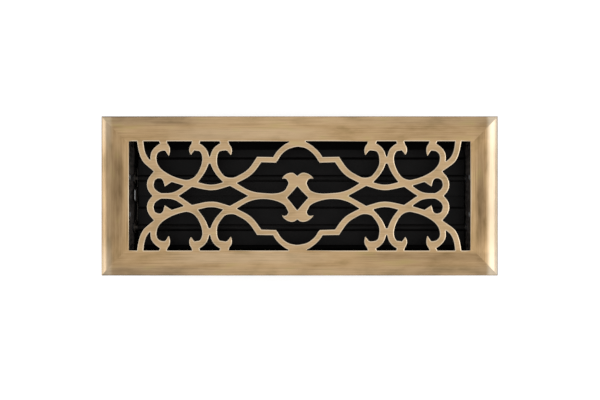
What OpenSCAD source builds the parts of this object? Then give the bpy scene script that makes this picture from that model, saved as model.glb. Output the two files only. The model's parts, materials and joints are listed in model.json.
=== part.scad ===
// Floor vent register for a duct hole: a cast scroll face plate over a sheet steel box
// with a damper of two lapped blades, worked by a link bar at the left end.
// Millimetres. X runs along the register, +Y to its rear side, +Z up out of the floor.
// The origin is the middle of the face plate's seat, so z = 0 is the floor.

/* [Duct hole] */
// length of the duct hole
duct_l = 304.8; // [290:0.1:330]
// width of the duct hole
duct_w = 101.6; // [98:0.1:104]
// how far the face plate reaches past the duct hole
border = 17.45; // [17:0.05:22]
// free space between the box and each end of the duct hole
end_gap = 4.9; // [4.5:0.1:6]
// free space between the box and each side of the duct hole
side_gap = 2.3; // [2:0.1:3]

/* [Face plate] */
// height of the face above the floor
plate_h = 6; // [6:0.5:8]
// thickness of the grille and of the plate over its hollow underside
skin = 3; // [2.5:0.1:3]
// width of the steep curve along the outer edge
bevel_w = 7; // [6:0.5:8]
// width of the gentle crown inside that curve
crown_w = 8; // [7:0.5:9]
// how far the plate's opening edge covers the box wall
opening_lip = 1; // [0.5:0.1:2]

/* [Scroll grille] */
// width of a scroll band
band_w = 4.8; // [4.2:0.1:5.4]
// how far the pattern sits left of the plate's middle, as cast
motif_shift = 2; // [0:0.5:3]
// how far the middle fleur sits below the middle line, as cast
fleur_drop = 2.6; // [0:0.2:3]
// fillet where two bands meet
cusp_r = 0.4; // [0.2:0.1:0.8]

/* [Box] */
// thickness of the box's sheet steel
sheet = 1; // [0.8:0.1:1.2]
// depth of the box below the floor
box_drop = 50.8; // [50.4:0.1:60]
// width of the tabs folded round the box's corners
fold_w = 9; // [8:0.5:10]

/* [Damper] */
// thickness of a blade
blade_t = 1; // [0.8:0.1:1]
// depth of the blade pivots below the floor
pivot_drop = 19; // [18.5:0.1:19.5]
// how far one closed blade laps over the next
lap = 2.1; // [1.5:0.1:3]
// diameter of a pivot rod
rod_d = 4; // [3.5:0.1:4.5]
// angle from closed to wide open
travel = 80; // [60:1:82]
// distance from a pivot to its link pin
crank_r = 10; // [9:0.5:11]
// width of the ledge that a closed blade rests on
ledge_w = 6.7; // [6:0.1:8]

/* [Hidden] */
$fn = 48;

// face plate and box
plate_l = duct_l + 2 * border;
plate_w = duct_w + 2 * border;
box_l = duct_l - 2 * end_gap;
box_w = duct_w - 2 * side_gap;
inner_l = box_l - 2 * sheet;
inner_w = box_w - 2 * sheet;
open_l = inner_l - 2 * opening_lip;
open_w = inner_w - 2 * opening_lip;
under_z = plate_h - skin;
crown_slope = 12;
bevel_slope = 50;
bend = 1.6;
flat_l = plate_l - 2 * (bevel_w + crown_w);
flat_w = plate_w - 2 * (bevel_w + crown_w);

// the grille is drawn for an opening of half length 145.5 and half width 46.6, with bands
// 4.8 wide; this is what one unit of that drawing measures along each way and in a band's width
unit_x = (open_l / 2 - motif_shift) / 145.5;
unit_y = open_w / 2 / 46.6;
unit_band = band_w / 4.8;
curve_bend = 9;

// end brackets, screws and rivets
bracket_t = 1.2;
bracket_w = 48;
bracket_drop = 9;
bracket_gap = 0.4;
boss_h = 0.6;
boss_r = 3.6;
screw_r = 2;
screw_head_r = 3.3;
screw_head_h = 1.1;
screw_reach = 1.9;
screw_x = plate_l / 2 - bevel_w - 4;
screw_y = 16;
bracket_top = under_z - boss_h;
bracket_rivet_z = -3.5;
rivet_r = 1.6;
rivet_head_r = 2.6;
rivet_head_h = 0.8;
corner_rivet_y = box_w / 2 - 5.5;
corner_rivet_z = [-12, -38];
corner_rivet_r = 1.4;
stop_rivet_x = [-110, -37, 37, 110];
stop_rivet_in = 6;
stop_rivet_r = 1.2;
small_head_r = 2.1;
small_head_h = 0.6;

// damper: the two blades share the inner width that the wall gaps leave
rear_gap = 1.7;
front_gap = 4.4;
blade_w = (inner_w - rear_gap - front_gap + lap) / 2;
lip_reach = 0.664 * blade_w;
back_reach = blade_w - lip_reach;
rear_y = inner_w / 2 - rear_gap - lip_reach;
front_y = rear_y - blade_w + lap;
pivot_z = -pivot_drop;
joggle_y = 0.546 * lip_reach;
joggle = 2;
rod_r = rod_d / 2;
bead_gap = 0.1;
clip_gap = 0.02;
run_gap = 0.05;
loop_gap = 0.3;
clip_w = 12;
clip_foot = 6;

// ledges: one over the rear blade's lip, one under the front blade's edge
stop_gap = 0.3;
stop_leg = 10;
rear_stop_z = pivot_z + blade_t - joggle + stop_gap;
front_stop_z = pivot_z - stop_gap;

// flat pieces side by side along X at the left end, from the wall inwards
flange_t = 0.7;
side_play = 0.2;
arm_t = 1;
pin_head_t = 0.6;
arm_x = -inner_l / 2 + flange_t + side_play;
link_x = arm_x + arm_t + side_play;
head_x = link_x + arm_t + side_play;
blade_left = head_x + pin_head_t + 0.5;
blade_right = inner_l / 2 - 1.5;

// bushes, caps, cranks and link
bush_r = 3;
bush_flange_r = 4;
bush_end = box_l / 2 + 1.35;
cap_x = bush_end + 0.15;
cap_t = 1.6;
cap_r = 3.8;
cap_bore = 1.2;
hub_r = 4.5;
arm_end_r = 3;
arm_waist = 0.9;
pin_r = 1.5;
pin_head_r = 2.4;
link_r = 3.2;
crank_angle = travel / 2 - 90;
pin_y = crank_r * cos(crank_angle);
pin_z = crank_r * sin(crank_angle);
tab_top = -12;
tab_base = 15;
tab_tip = 10;
tab_corner = 2;

// point t of the way from b to c on a smooth curve through a, b, c and d
function between(a, b, c, d, t) =
    (2 * b + (c - a) * t + (2 * a - 5 * b + 4 * c - d) * t * t
        + (3 * b - a - 3 * c + d) * t * t * t) / 2;

// heading of the curve through the knots k at knot i
function heading(k, i) =
    let(d = k[min(i + 1, len(k) - 1)] - k[max(i - 1, 0)])
    atan2(d[1], d[0]);

// steps for the span after knot i, so that no step bends more than curve_bend degrees
function steps(k, i) =
    let(turn = abs(heading(k, i + 1) - heading(k, i)))
    ceil(max(min(turn, 360 - turn), 1) / curve_bend);

// the smooth curve through a list of knots
function curve(k) = let(n = len(k) - 1) concat(
    [for (i = [0:n - 1]) let(m = steps(k, i)) for (s = [0:m - 1])
        between(k[max(i - 1, 0)], k[i], k[i + 1], k[min(i + 2, n)], s / m)],
    [k[n]]);

// how much of the fleur's drop reaches a drawn point
function drop_at(p) = max(0, 1 - p[0] / 30) * max(0, 1 - p[1] / 46.6);

// how much of the pattern's shift reaches a drawn point: the right side has less of it
function shift_at(p, sx) = sx < 0 ? 1 : max(0.3, 1 - p[0] / 40);

// a drawn knot [x, y, width] moved to the real grille, on side sx and half sy
function placed(k, sx, sy) = [for (p = k) [
    sx * p[0] * unit_x - motif_shift * shift_at(p, sx),
    sy * p[1] * unit_y - fleur_drop * drop_at(p),
    p[2] * unit_band]];

// unit vector square to the curve p at its point i
function square_to(p, i) =
    let(d = p[min(i + 1, len(p) - 1)] - p[max(i - 1, 0)])
    [-d[1], d[0]] / norm([d[0], d[1]]);

// one side of a band whose middle line is p
function edge(p, side) = [for (i = [0:len(p) - 1])
    [p[i][0], p[i][1]] + side * square_to(p, i) * p[i][2] / 2];

// a scroll band along knots [x, y, width] drawn for the right rear quarter
module band(knots, sx, sy) {
    p = curve(placed(knots, sx, sy));
    left = edge(p, 1);
    right = edge(p, -1);
    for (i = [1:len(p) - 1])
        polygon([left[i - 1], left[i], right[i], right[i - 1]]);
}

// a solid piece of the pattern between corners of the right rear quarter
module patch(corners, sx, sy) {
    k = placed([for (c = corners) [c[0], c[1], 0]], sx, sy);
    polygon([for (p = k) [p[0], p[1]]]);
}

// a solid piece with a smooth outline
module leaf(outline, sx, sy) {
    k = curve(placed([for (c = outline) [c[0], c[1], 0]], sx, sy));
    polygon([for (p = k) [p[0], p[1]]]);
}

// one quarter of the scroll pattern, mirrored to the four quarters by sx and sy
module quarter(sx, sy) {
    // short band across the corner of the opening, cast further out at the right end
    lean = 1 + sx;
    band([[135.8 + lean, 49, 5.4], [135.4 + 0.9 * lean, 42.5, 5.3],
        [133.6 + 0.9 * lean, 36, 5], [131.3 + 0.85 * lean, 31.4, 5.3],
        [128.9 + 0.7 * lean, 28.5, 5.6], [124, 24.3, 5], [119.8, 20.6, 5]], sx, sy);
    // long band: barbed hook, under the first eye, dip, and up to the step
    band([[111, 34.4, 0.5], [111.4, 37, 2.8], [112.4, 40, 5], [115, 42.2, 7.2],
        [120.2, 40.2, 5.6], [123.6, 36.2, 5.3], [124.2, 31.3, 5.2], [122.4, 25.4, 5],
        [117, 19.5, 5], [108.9, 14.7, 4.9], [99.3, 11.6, 5.1], [88, 9.8, 5], [81.1, 7.9, 4.7],
        [74.1, 7.3, 4.8], [67.4, 8, 4.7], [60.8, 10.2, 5], [53.9, 13, 5],
        [46.8, 16.5, 5.2], [41.5, 20.2, 5.5], [36.7, 25.2, 5.6], [33, 30.8, 5.4]], sx, sy);
    // step and the arch over the middle
    patch([[34.8, 33.4], [21.5, 33.4], [16.7, 31], [18.4, 28.7], [31.8, 28.7], [36, 31.2]],
        sx, sy);
    band([[19.3, 31.3, 4.9], [17.7, 34.1, 4.8], [15.4, 37.2, 4.8], [11.5, 40.6, 4.9],
        [7, 43.1, 5.6], [-1, 44.6, 7]], sx, sy);
    // left hook of the pair, crossing the long band down to the middle line
    band([[91.8, 35.2, 0.5], [91.8, 37, 2.8], [90.9, 40, 5], [88.2, 42.2, 7.2],
        [82.9, 40.4, 5.8], [79.8, 36.1, 5.8], [79.1, 30.8, 6], [80.2, 25.6, 5.6],
        [82.9, 19.7, 5.1], [87.2, 14, 4.9], [93.5, 8.8, 5], [99.8, 4.2, 5], [105.3, 1.5, 4.4],
        [111.7, 0.2, 4], [119.2, 0, 5]], sx, sy);
    // end scroll round the small eye, with its barb
    band([[119.8, 20.8, 5], [124.6, 16.4, 5.4], [127, 9.8, 5.7], [125.5, 4.9, 5.6],
        [122.4, 1.8, 5.8], [118, 0.3, 4.4], [113, -0.2, 4]], sx, sy);
    leaf([[126, 9.4], [124.3, 10], [123.9, 11.8], [122.9, 13.4], [121.2, 14.6], [119, 15],
        [117, 14.2], [115.8, 12.6], [115.2, 10.6], [114.4, 9.2], [112, 14], [118, 19],
        [124, 18]], sx, sy);
    patch([[115.45, 11], [114.5, 7.9], [111.8, 9.8], [108.4, 11.9], [107, 13.5], [112, 17],
        [116, 14]], sx, sy);
    // right hook of the pair, crossing the long band, then the middle line and the stem
    band([[57.4, 35, 0.5], [57.9, 37, 2.6], [58.9, 40, 5], [62.6, 42.3, 7.2],
        [68.6, 40.3, 5.8], [71.5, 36, 5.8], [72.4, 30.8, 6.2], [71.3, 25, 5.1], [68, 19.1, 4.8],
        [62.2, 13.3, 4.9], [54.5, 9.4, 4.9], [48.1, 5.5, 4.6], [41.2, 2.1, 4.8],
        [32.5, 0.3, 5], [24, 0, 5.1], [16.8, 0.5, 6.2], [10.8, 2.7, 6.4],
        [7, 6.5, 6], [4.4, 12, 6.2]], sx, sy);
    // fleur at the middle
    leaf([[0, 17], [0, 18.5], [2.4, 20.4], [5.5, 21], [9, 20], [11.7, 18],
        [13.2, 15.7], [11, 15.9], [9, 15], [7.8, 13]], sx, sy);
    patch([[-0.2, 10], [0, 10.2], [2.2, 7.7], [4.3, 5.2], [7.6, 9], [7.8, 13], [5, 19],
        [-0.2, 18.4]], sx, sy);
    // where the three hooks grow out of the border
    patch([[120.3, 48], [118.2, 44], [111.6, 43.2], [113.2, 48]], sx, sy);
    patch([[90.4, 48], [91.9, 43.2], [84.8, 44], [83.4, 48]], sx, sy);
    patch([[68.2, 48], [66, 44], [58.4, 43.2], [60, 48]], sx, sy);
    // where the pair of hooks touch
    patch([[75.2, 33.6], [76.4, 33.6], [77, 30.5], [76.6, 27.5], [75.1, 27.5], [74.5, 30.5]],
        sx, sy);
    // rounded inner corners of the two eyes
    leaf([[101.5, 14.6], [99.5, 13.95], [97.5, 13.7], [95.5, 13.7], [93.5, 14], [91.5, 14.7],
        [89.6, 15.8], [87.9, 17.2], [86.6, 18.9], [86, 16], [90, 11], [99, 11]], sx, sy);
    leaf([[65, 18.8], [63.4, 17.4], [61.6, 16.4], [59.4, 15.8], [57.2, 15.6], [55, 15.7],
        [52.5, 16.3], [54, 13], [60, 11], [64, 14]], sx, sy);
}

// the flat middle of the face plate: border and scrolls in one, with filleted angles
module pierced_sheet() {
    offset(r = -cusp_r, $fn = 12)
    offset(delta = cusp_r) {
        difference() {
            square([flat_l, flat_w], center = true);
            square([open_l, open_w], center = true);
        }
        for (sx = [-1, 1], sy = [-1, 1])
            quarter(sx, sy);
    }
}

// half of the plate's section across its edge: a steep curve, then a gentle crown
module edge_section(reach) {
    crown_r = crown_w / sin(crown_slope);
    bevel_r = bevel_w / (sin(bevel_slope) - sin(crown_slope));
    crown_x = bevel_w + crown_w;
    bend_z = plate_h - crown_r * (1 - cos(crown_slope));
    intersection() {
        translate([bevel_w + bevel_r * sin(crown_slope), bend_z - bevel_r * cos(crown_slope)])
            circle(bevel_r, $fn = 96);
        square([bevel_w, plate_h]);
    }
    intersection() {
        translate([crown_x, plate_h - crown_r])
            circle(crown_r, $fn = 96);
        translate([bevel_w, 0])
            square([crown_w, plate_h]);
    }
    translate([crown_x, 0])
        square([reach - crown_x, plate_h]);
}

// the plate's whole section for a plate this wide
module crown_section(w) {
    for (side = [0, 1])
        mirror([side, 0])
            translate([-w / 2, 0])
                edge_section(w / 2);
}

// a block centred on the origin in plan, from z0 up to z1
module slab(l, w, z0, z1) {
    translate([-l / 2, -w / 2, z0])
        cube([l, w, z1 - z0]);
}

// crowned border with mitred corners, a stepped hollow behind its flat seat, and bosses
module border_ring() {
    difference() {
        union() {
            difference() {
                intersection() {
                    along_y(-plate_w / 2, plate_w / 2)
                        crown_section(plate_l);
                    along_x(-plate_l / 2, plate_l / 2)
                        crown_section(plate_w);
                }
                slab(plate_l - 8, plate_w - 8, -1, under_z / 2);
                slab(plate_l - 2 * bevel_w, plate_w - 2 * bevel_w, -1, under_z);
            }
            for (sx = [-1, 1], sy = [-1, 1])
                translate([sx * screw_x, sy * screw_y, bracket_top])
                    cylinder(r = boss_r, h = boss_h + 1);
        }
        slab(flat_l, flat_w, 0, plate_h + 1);
        for (sx = [-1, 1], sy = [-1, 1])
            translate([sx * screw_x, sy * screw_y, bracket_top - 1])
                cylinder(r = screw_r, h = 1 + boss_h + screw_reach);
    }
}

// one casting: border, pierced scrolls and the bosses that take the screws
module face_plate() {
    color("#b39562") {
        border_ring();
        translate([0, 0, under_z])
            linear_extrude(skin)
                pierced_sheet();
    }
}

// section of a sheet bent square: one leg along +X, one along +Y, the bend at the origin;
// the outside radius is bend times the sheet's thickness
module bent_section(leg_x, leg_y, t) {
    bend_r = bend * t;
    difference() {
        union() {
            translate([bend_r, 0])
                square([leg_x - bend_r, t]);
            translate([0, bend_r])
                square([t, leg_y - bend_r]);
            intersection() {
                translate([bend_r, bend_r])
                    circle(bend_r);
                square(bend_r);
            }
        }
        translate([bend_r, bend_r])
            circle(bend_r - t);
    }
}

// turns a section in [y, z] into a solid along X from x0 to x1
module along_x(x0, x1) {
    translate([x0, 0, 0])
        rotate([90, 0, 90])
            linear_extrude(x1 - x0)
                children();
}

// turns a section in [x, z] into a solid along Y from y0 to y1
module along_y(y0, y1) {
    translate([0, y1, 0])
        rotate([90, 0, 0])
            linear_extrude(y1 - y0)
                children();
}

// round bar or bore along X
module round_x(x0, x1, y, z, r) {
    translate([x0, y, z])
        rotate([0, 90, 0])
            cylinder(r = r, h = x1 - x0);
}

// round bar or bore along Y
module round_y(y0, y1, x, z, r) {
    translate([x, y0, z])
        rotate([-90, 0, 0])
            cylinder(r = r, h = y1 - y0);
}

// low dome standing on z = 0
module dome(r, h) {
    ball_r = (r * r + h * h) / (2 * h);
    intersection() {
        translate([0, 0, h - ball_r])
            sphere(ball_r);
        cylinder(r = r + 1, h = h + 1);
    }
}

// upright rivet through a stack of height grip, with a dome at both ends
module rivet(grip, shank_r, head_r, head_h) {
    cylinder(r = shank_r, h = grip);
    translate([0, 0, grip])
        dome(head_r, head_h);
    mirror([0, 0, 1])
        dome(head_r, head_h);
}

// long wall of the box, its ends folded round the corners; sy is its side
module side_wall(sy) {
    fold_h = box_drop - 4;
    web_l = box_l + 2 * sheet * (1 - bend);
    rivet_z = sy > 0 ? rear_stop_z + stop_rivet_in : front_stop_z - stop_rivet_in;
    color("#1d1d1e")
    mirror([0, sy > 0 ? 0 : 1, 0])
        difference() {
            union() {
                translate([-web_l / 2, inner_w / 2, -box_drop])
                    cube([web_l, sheet, box_drop + under_z]);
                for (side = [0, 1])
                    mirror([side, 0, 0])
                        translate([-box_l / 2 - sheet, box_w / 2, -box_drop + 2])
                            mirror([0, 1, 0])
                                linear_extrude(fold_h)
                                    bent_section(6, fold_w, sheet);
            }
            for (z = corner_rivet_z)
                round_x(-box_l / 2 - 2, box_l / 2 + 2, corner_rivet_y, z, corner_rivet_r);
            for (x = stop_rivet_x)
                round_y(inner_w / 2 - 1, box_w / 2 + 1, x, rivet_z, stop_rivet_r);
        }
}

// end wall of the box, clear of the bends of the folded tabs; sx is its side
module end_wall(sx) {
    end_w = inner_w - 2 * (bend - 1) * sheet;
    color("#1d1d1e")
    mirror([sx > 0 ? 0 : 1, 0, 0])
        difference() {
            translate([inner_l / 2, -end_w / 2, -box_drop])
                cube([sheet, end_w, box_drop + under_z]);
            for (y = [rear_y, front_y])
                round_x(inner_l / 2 - 1, box_l / 2 + 1, y, pivot_z, bush_r);
            for (sy = [-1, 1]) {
                round_x(inner_l / 2 - 1, box_l / 2 + 1, sy * screw_y, bracket_rivet_z, rivet_r);
                for (z = corner_rivet_z)
                    round_x(inner_l / 2 - 1, box_l / 2 + 1, sy * corner_rivet_y, z,
                        corner_rivet_r);
            }
        }
}

// rivets that hold the folded tabs to the end walls
module corner_rivets() {
    color("#2a2a2b")
    for (side = [0, 1], sy = [-1, 1], z = corner_rivet_z)
        mirror([side, 0, 0])
            translate([inner_l / 2, sy * corner_rivet_y, z])
                rotate([0, 90, 0])
                    rivet(2 * sheet, corner_rivet_r, small_head_r, small_head_h);
}

// angle bracket from an end wall to the bosses under the plate; sx is its side
module end_bracket(sx) {
    leg_out = plate_l / 2 - bevel_w - box_l / 2 - bracket_gap;
    color("#8d8f90")
    mirror([sx > 0 ? 0 : 1, 0, 0])
        difference() {
            along_y(-bracket_w / 2, bracket_w / 2)
                translate([box_l / 2, bracket_top])
                    mirror([0, 1])
                        bent_section(leg_out, bracket_top + bracket_drop, bracket_t);
            for (sy = [-1, 1]) {
                translate([screw_x, sy * screw_y, 0])
                    cylinder(r = screw_r + 0.2, h = 4);
                round_x(box_l / 2 - 1, box_l / 2 + 2, sy * screw_y, bracket_rivet_z, rivet_r);
            }
        }
}

// bright rivets through the end walls and brackets
module bracket_rivets() {
    color("#b9bbbc")
    for (side = [0, 1], sy = [-1, 1])
        mirror([side, 0, 0])
            translate([inner_l / 2, sy * screw_y, bracket_rivet_z])
                rotate([0, 90, 0])
                    rivet(sheet + bracket_t, rivet_r, rivet_head_r, rivet_head_h);
}

// screws up through the brackets into the bosses, each with a cross slot
module plate_screws() {
    head_z = bracket_top - bracket_t;
    color("#a9abac")
    for (sx = [-1, 1], sy = [-1, 1])
        translate([sx * screw_x, sy * screw_y, head_z])
            difference() {
                union() {
                    cylinder(r = screw_r, h = bracket_t + boss_h + screw_reach);
                    mirror([0, 0, 1])
                        dome(screw_head_r, screw_head_h);
                }
                for (turn = [0, 90])
                    rotate([0, 0, turn])
                        translate([-1.8, -0.35, -screw_head_h - 0.5])
                            cube([3.6, 0.7, 1.2]);
            }
}

// ledge strip that a closed blade rests on; sy is its side
module blade_stop(sy) {
    edge_z = sy > 0 ? rear_stop_z : front_stop_z;
    rivet_z = edge_z + sy * stop_rivet_in;
    color("#1b1b1c")
    difference() {
        along_x(-blade_right, blade_right)
            translate([sy * inner_w / 2, edge_z])
                mirror([sy > 0 ? 1 : 0, 0])
                    mirror([0, sy > 0 ? 0 : 1])
                        bent_section(ledge_w, stop_leg, sheet);
        for (x = stop_rivet_x)
            round_y(-box_w / 2, box_w / 2, x, rivet_z, stop_rivet_r);
    }
}

// rivets that hold both ledge strips to the long walls
module stop_rivets() {
    color("#2a2a2b")
    for (sy = [-1, 1], x = stop_rivet_x)
        translate([x, sy * (inner_w / 2 - sheet),
            (sy > 0 ? rear_stop_z : front_stop_z) + sy * stop_rivet_in])
            rotate([-90 * sy, 0, 0])
                rivet(2 * sheet, stop_rivet_r, small_head_r, small_head_h);
}

// flanged bushes that the pivot rods turn in
module pivot_bushes() {
    color("#26262a")
    for (side = [0, 1], y = [rear_y, front_y])
        mirror([side, 0, 0])
            difference() {
                union() {
                    round_x(inner_l / 2 - flange_t, inner_l / 2, y, pivot_z, bush_flange_r);
                    round_x(inner_l / 2 - flange_t, bush_end, y, pivot_z, bush_r);
                }
                round_x(inner_l / 2 - 2, bush_end + 1, y, pivot_z, rod_r + run_gap);
            }
}

// half of the bead that wraps the pivot rod: up = 1 for the blade, -1 for a clip
module half_bead(bore_r, up) {
    intersection() {
        difference() {
            circle(bore_r + blade_t);
            circle(bore_r);
        }
        translate([-bore_r - 2, up > 0 ? 0 : -bore_r - 2])
            square([2 * bore_r + 4, bore_r + 2]);
    }
}

// blade section about its pivot: flat web, half-round bead, joggle and lowered lip
module blade_section() {
    web_y = rod_r + bead_gap + blade_t / 2;
    slope = 0.4 * blade_t;
    half_bead(rod_r + bead_gap, 1);
    translate([-back_reach, 0])
        square([back_reach - web_y, blade_t]);
    polygon([[web_y, 0], [joggle_y - slope, 0], [joggle_y + joggle - slope, -joggle],
        [lip_reach, -joggle], [lip_reach, blade_t - joggle],
        [joggle_y + joggle, blade_t - joggle], [joggle_y, blade_t], [web_y, blade_t]]);
}

// a formed sheet blade; y is its pivot
module blade(y) {
    color("#232324")
    translate([0, y, pivot_z])
        along_x(blade_left, blade_right)
            blade_section();
}

// straps that hold the rod in the bead from below
module rod_clips(y) {
    foot_y = rod_r + blade_t / 2;
    color("#2b2b2c")
    for (x = [-0.36, 0, 0.36] * (blade_right - blade_left))
        translate([0, y, pivot_z])
            along_x(x - clip_w / 2, x + clip_w / 2) {
                half_bead(rod_r + clip_gap, -1);
                for (side = [0, 1])
                    mirror([side, 0])
                        translate([foot_y, -blade_t])
                            square([clip_foot, blade_t]);
            }
}

module pivot_rod(y) {
    color("#b4b6b8")
    round_x(-cap_x - cap_bore, cap_x + cap_bore, y, pivot_z, rod_r);
}

// push-on caps outside the bushes
module rod_caps(y) {
    color("#7f8183")
    for (side = [0, 1])
        mirror([side, 0, 0])
            difference() {
                round_x(cap_x, cap_x + cap_t, y, pivot_z, cap_r);
                round_x(cap_x - 1, cap_x + cap_bore, y, pivot_z, rod_r);
            }
}

// flat arm from a round end at the origin to one at p, waisted a little between them
module arm_section(p, r0, r1) {
    across = [-p[1], p[0]] / norm(p) * arm_waist;
    circle(r0);
    translate(p)
        circle(r1);
    polygon([r0 * across, -r0 * across, p - r1 * across, p + r1 * across]);
}

// crank arm fixed to a rod, outside the blade's left end
module crank(y) {
    color("#9fa1a3")
    translate([0, y, pivot_z])
        along_x(arm_x, arm_x + arm_t)
            difference() {
                arm_section([pin_y, pin_z], hub_r, arm_end_r);
                circle(rod_r);
                translate([pin_y, pin_z])
                    circle(pin_r);
            }
}

// headed pin riveted into a crank arm
module link_pin(y) {
    color("#c3c5c7")
    translate([0, y + pin_y, pivot_z + pin_z]) {
        round_x(arm_x, head_x, 0, 0, pin_r);
        round_x(head_x, head_x + pin_head_t, 0, 0, pin_head_r);
    }
}

// bar that ties both cranks together, with the thumb tab that is reached through the grille
module link_bar() {
    rear_pin = [rear_y + pin_y, pivot_z + pin_z];
    front_pin = [front_y + pin_y, pivot_z + pin_z];
    tab_h = tab_top - front_pin[1];
    tab_y = (rear_y + front_y) / 2 + 7;
    color("#cfd1d3")
    along_x(link_x, link_x + arm_t)
        difference() {
            union() {
                translate(front_pin)
                    arm_section(rear_pin - front_pin, link_r, link_r);
                translate([tab_y, front_pin[1]]) {
                    polygon([[-tab_base / 2, 0], [tab_base / 2, 0],
                        [tab_tip / 2, tab_h - tab_corner], [-tab_tip / 2, tab_h - tab_corner]]);
                    translate([tab_corner - tab_tip / 2, tab_h - 2 * tab_corner])
                        square([tab_tip - 2 * tab_corner, 2 * tab_corner]);
                    for (side = [-1, 1])
                        translate([side * (tab_tip / 2 - tab_corner), tab_h - tab_corner])
                            circle(tab_corner);
                }
            }
            translate(rear_pin)
                circle(pin_r + run_gap);
            translate(front_pin)
                circle(pin_r + loop_gap);
        }
}

face_plate();
side_wall(1);  // side_wall_rear
side_wall(-1);  // side_wall_front
end_wall(-1);  // end_wall_left
end_wall(1);  // end_wall_right
corner_rivets();
end_bracket(-1);  // end_bracket_left
end_bracket(1);  // end_bracket_right
bracket_rivets();
plate_screws();
blade_stop(1);  // blade_stop_rear
blade_stop(-1);  // blade_stop_front
stop_rivets();
pivot_bushes();
blade(rear_y);  // blade_rear
pivot_rod(rear_y);  // pivot_rod_rear
rod_clips(rear_y);  // rod_clips_rear
rod_caps(rear_y);  // rod_caps_rear
crank(rear_y);  // crank_rear
link_pin(rear_y);  // link_pin_rear
blade(front_y);  // blade_front
pivot_rod(front_y);  // pivot_rod_front
rod_clips(front_y);  // rod_clips_front
rod_caps(front_y);  // rod_caps_front
crank(front_y);  // crank_front
link_pin(front_y);  // link_pin_front
link_bar();
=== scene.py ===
import json
import math

import bmesh
import bpy
import numpy as np
from mathutils.geometry import delaunay_2d_cdt
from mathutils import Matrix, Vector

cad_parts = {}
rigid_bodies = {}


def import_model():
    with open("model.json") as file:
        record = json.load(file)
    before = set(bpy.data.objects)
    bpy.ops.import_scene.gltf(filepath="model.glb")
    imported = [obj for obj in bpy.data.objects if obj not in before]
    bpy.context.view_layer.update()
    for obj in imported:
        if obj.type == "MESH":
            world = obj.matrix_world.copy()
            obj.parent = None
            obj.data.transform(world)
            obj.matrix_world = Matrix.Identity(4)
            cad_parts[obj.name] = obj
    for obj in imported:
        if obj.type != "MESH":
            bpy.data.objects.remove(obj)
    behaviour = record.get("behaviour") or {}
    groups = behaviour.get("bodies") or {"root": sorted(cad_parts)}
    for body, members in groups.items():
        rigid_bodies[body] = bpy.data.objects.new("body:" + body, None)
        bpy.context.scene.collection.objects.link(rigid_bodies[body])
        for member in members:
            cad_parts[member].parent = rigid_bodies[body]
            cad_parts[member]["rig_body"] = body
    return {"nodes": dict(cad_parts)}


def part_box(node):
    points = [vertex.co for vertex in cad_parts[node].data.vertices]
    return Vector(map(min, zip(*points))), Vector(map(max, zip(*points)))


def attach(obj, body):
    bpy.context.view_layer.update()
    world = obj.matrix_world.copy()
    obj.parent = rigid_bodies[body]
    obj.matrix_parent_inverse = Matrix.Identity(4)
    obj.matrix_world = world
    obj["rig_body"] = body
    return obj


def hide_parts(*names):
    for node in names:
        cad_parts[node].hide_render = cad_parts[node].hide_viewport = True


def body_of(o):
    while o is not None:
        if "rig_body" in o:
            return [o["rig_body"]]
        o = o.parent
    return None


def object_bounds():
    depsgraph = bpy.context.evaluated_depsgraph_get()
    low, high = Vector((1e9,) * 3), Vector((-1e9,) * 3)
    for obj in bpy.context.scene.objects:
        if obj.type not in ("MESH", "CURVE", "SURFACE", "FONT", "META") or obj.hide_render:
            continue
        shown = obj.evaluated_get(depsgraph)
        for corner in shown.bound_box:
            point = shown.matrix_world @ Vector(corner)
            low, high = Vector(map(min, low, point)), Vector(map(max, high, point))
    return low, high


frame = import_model()
cad_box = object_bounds()
cad = frame["nodes"]


# Face plate
# One sand casting of yellow brass: crowned border and pierced scrolls, linished along its
# length, browned with an antiquing wash and wiped back, so that the edges shine; that shine is
# partly a painted highlight, strongest on the bevel of the right end.

def linear(code):
    """Linear RGBA from an sRGB hex code such as #B39562."""
    parts = [int(code[i:i + 2], 16) / 255 for i in (1, 3, 5)]
    return tuple(c / 12.92 if c <= 0.04045 else ((c + 0.055) / 1.055) ** 2.4 for c in parts) + (1.0,)


def add(tree, kind, inputs=None, stops=None, **settings):
    """A new node with its settings, and with its inputs set to values or linked to sockets."""
    node = tree.nodes.new(kind)
    for name, value in settings.items():
        setattr(node, name, value)
    for key, value in (inputs or {}).items():
        if isinstance(value, bpy.types.NodeSocket):
            tree.links.new(value, node.inputs[key])
        else:
            node.inputs[key].default_value = value
    if stops:
        ramp = node.color_ramp
        while len(ramp.elements) < len(stops):
            ramp.elements.new(1.0)
        for element, (place, code) in zip(ramp.elements, stops):
            element.position = place
            element.color = linear(code)
    return node


def finish_named(name):
    """An empty material to build a finish in."""
    finish = bpy.data.materials.new(name)
    finish.use_nodes = True
    finish.node_tree.nodes.clear()
    return finish


def merged_copy(node):
    """A bmesh of a CAD node with its loose triangles joined at their corners."""
    bm = bmesh.new()
    bm.from_mesh(cad[node].data)
    bmesh.ops.remove_doubles(bm, verts=bm.verts, dist=2e-6)
    for edge in bm.edges:
        edge.smooth = True
    bm.normal_update()
    return bm


def shown(node, bm, finish):
    """The dressed piece that stands for a CAD node: smooth shaded, but crisp at its edges."""
    for edge in bm.edges:
        if edge.calc_face_angle(0.0) > math.radians(34):
            edge.smooth = False
    mesh = bpy.data.meshes.new(node + "_dressed")
    bm.to_mesh(mesh)
    bm.free()
    mesh.materials.clear()
    mesh.materials.append(finish)
    mesh.polygons.foreach_set("use_smooth", [True] * len(mesh.polygons))
    mesh.polygons.foreach_set("material_index", [0] * len(mesh.polygons))
    piece = bpy.data.objects.new(node + "_dressed", mesh)
    bpy.context.scene.collection.objects.link(piece)
    even = piece.modifiers.new("even_shading", "WEIGHTED_NORMAL")
    even.keep_sharp = True
    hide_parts(node)
    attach(piece, body_of(cad[node])[0])
    return piece


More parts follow.
